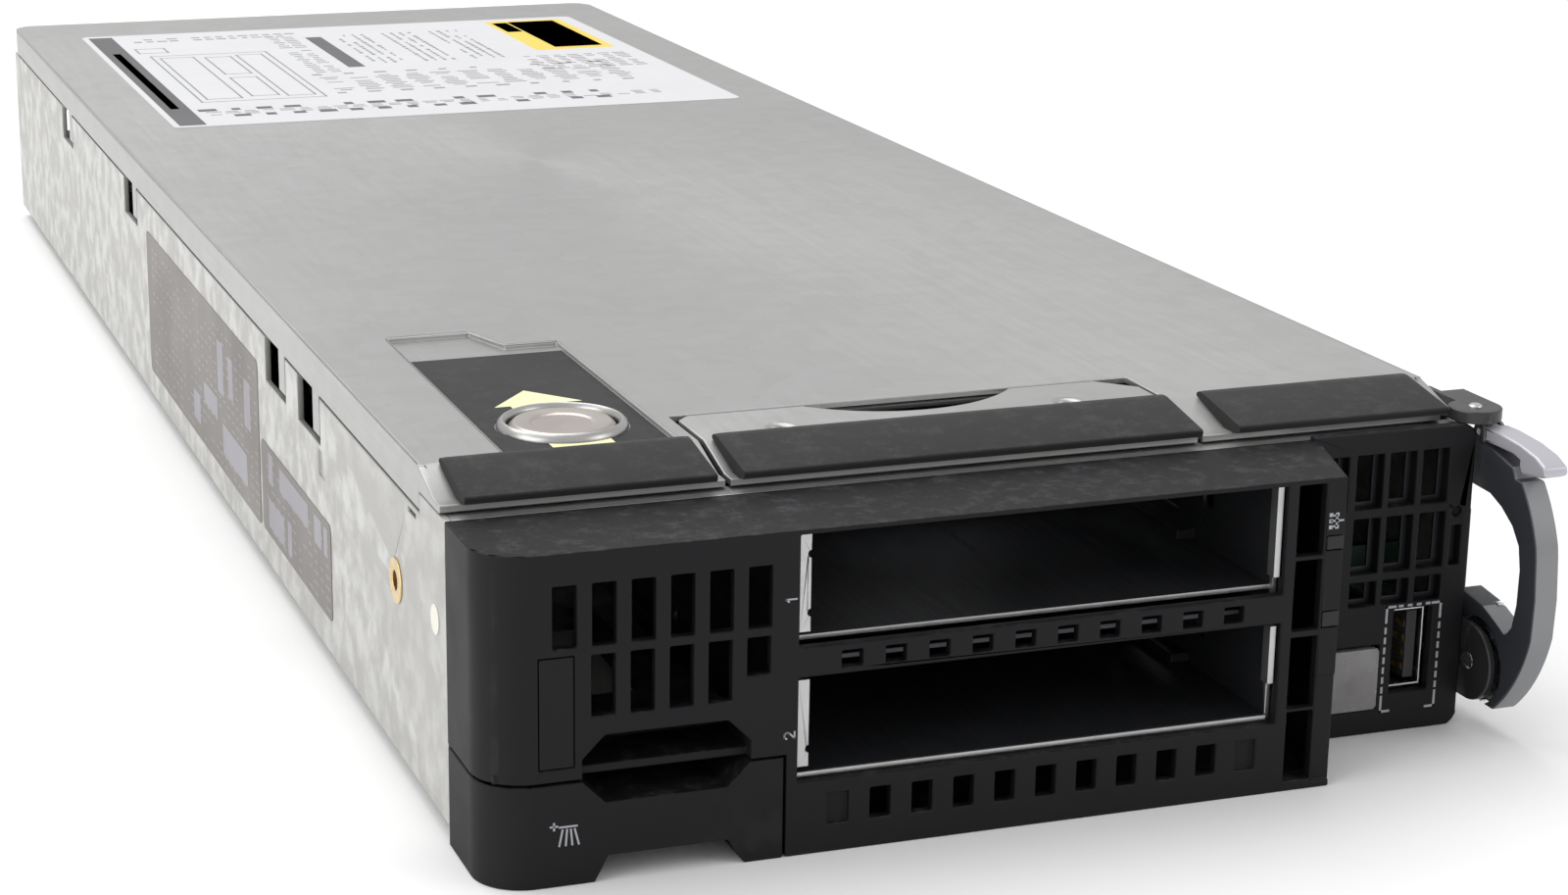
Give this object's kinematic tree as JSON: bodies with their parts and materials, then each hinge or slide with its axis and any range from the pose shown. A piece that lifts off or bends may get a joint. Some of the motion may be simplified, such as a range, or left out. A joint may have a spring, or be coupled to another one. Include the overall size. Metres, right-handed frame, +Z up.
{
  "type": "blade server",
  "caption": "Flat sheet-metal blade server with a sliding hood, black front bezel with two open drive bays, pull tab, port panel and release lever.",
  "frame": {"origin": "centre of the bounding box's bottom, on the resting plane under the bezel's lower edge", "axes": "+X to the lever's side along the front, +Y from the bezel to the rear connectors, +Z up through the hood"},
  "size_m": [0.1813, 0.517, 0.0573],
  "materials": {
    "galvanised_steel": "galvanised, satin",
    "bezel_plastic": "fine texture, black",
    "badge_plastic": "smooth black, bare",
    "window_plastic": "smoked",
    "button_plastic": "translucent grey",
    "card_plastic": "pale, smooth",
    "guide_plastic": "moulded",
    "nickel_steel": "nickel plated",
    "spring_steel": "bright",
    "label_film": "printed film",
    "dark_label_film": "printed film, black",
    "grey_label_film": "printed film, grey",
    "insert_brass": "bright",
    "gasket_fabric": "foam with a woven cover",
    "bracket_steel": "black, semi-gloss",
    "lever_paint": "dark slate, fine texture",
    "lever_silver": "silver lilac",
    "board_laminate": "solder mask",
    "connector_black": "moulded",
    "connector_pale": "moulded",
    "sink_aluminium": "extruded",
    "baffle_plastic": "sheet",
    "bright_steel": "plated"
  },
  "bodies": {
    "chassis": {"chassis_tray": "galvanised_steel", "side_wall_left": "galvanised_steel", "side_wall_right": "galvanised_steel", "front_rail": "galvanised_steel", "front_screen": "galvanised_steel", "drive_cage": "galvanised_steel", "centre_plate": "galvanised_steel", "front_bezel": "bezel_plastic", "badge_plate": "badge_plastic", "light_windows": "window_plastic", "tab_guide": "guide_plastic", "side_label_front": "grey_label_film", "side_label_rear": "grey_label_film", "side_dot": "label_film", "side_insert": "insert_brass", "gasket_centre": "gasket_fabric", "lever_bracket": "bracket_steel", "lever_pin": "bright_steel", "keeper_rivet": "bright_steel", "usb_shell": "bright_steel", "usb_tongue": "connector_black", "port_board": "board_laminate", "power_switch": "connector_black", "drive_backplane": "board_laminate", "drive_connectors": "connector_black", "system_board": "board_laminate", "board_standoffs": "bright_steel", "board_screws": "bright_steel", "processor_sockets": "bright_steel", "heatsink_front": "sink_aluminium", "heatsink_rear": "sink_aluminium", "heatsink_screws": "bright_steel", "memory_sockets": "connector_black", "memory_modules": "board_laminate", "air_baffle": "baffle_plastic", "mezzanine_sockets": "connector_black", "mezzanine_cards": "board_laminate", "storage_controller": "board_laminate", "coin_battery": "bright_steel", "signal_connectors": "connector_pale", "power_connector": "connector_black", "guide_sockets": "guide_plastic"},
    "hood": {"hood": "galvanised_steel", "latch_ring": "nickel_steel", "latch_spring": "spring_steel", "latch_housing": "guide_plastic", "latch_plate": "dark_label_film", "hood_label": "label_film", "gasket_left": "gasket_fabric", "gasket_right": "gasket_fabric"},
    "latch_button": {"latch_button": "nickel_steel"},
    "pull_tab": {"pull_tab": "bezel_plastic", "tab_card": "card_plastic"},
    "power_button": {"power_button": "button_plastic"},
    "lever": {"lever_grip": "lever_paint", "lever_cam": "galvanised_steel", "lever_spring": "spring_steel", "release_pin": "bright_steel"},
    "release": {"lever_release": "lever_silver"}
  },
  "joints": [
    {"name": "hood_slide", "type": "slide", "parent": "chassis", "child": "hood", "axis": [0, 1, 0], "range_m": [0, 0.012]},
    {"name": "latch_press", "type": "slide", "parent": "hood", "child": "latch_button", "axis": [0, 0, -1], "range_m": [0, 0.002], "stiffness_N_per_m": 800, "deforming": ["latch_spring"]},
    {"name": "tab_pull", "type": "slide", "parent": "chassis", "child": "pull_tab", "axis": [0, -1, 0], "range_m": [0, 0.045]},
    {"name": "power_press", "type": "slide", "parent": "chassis", "child": "power_button", "axis": [0, 1, 0], "range_m": [0, 0.0008], "stiffness_N_per_m": 900},
    {"name": "lever_swing", "type": "hinge", "parent": "chassis", "child": "lever", "pos_m": [0.0883, -0.2426, 0.012], "axis": [1, 0, 0], "range_deg": [0, 75]},
    {"name": "release_press", "type": "hinge", "parent": "lever", "child": "release", "pos_m": [0.0883, -0.2383, 0.0506], "axis": [1, 0, 0], "range_deg": [0, 4], "stiffness_Nm_per_rad": 0.6}
  ]
}
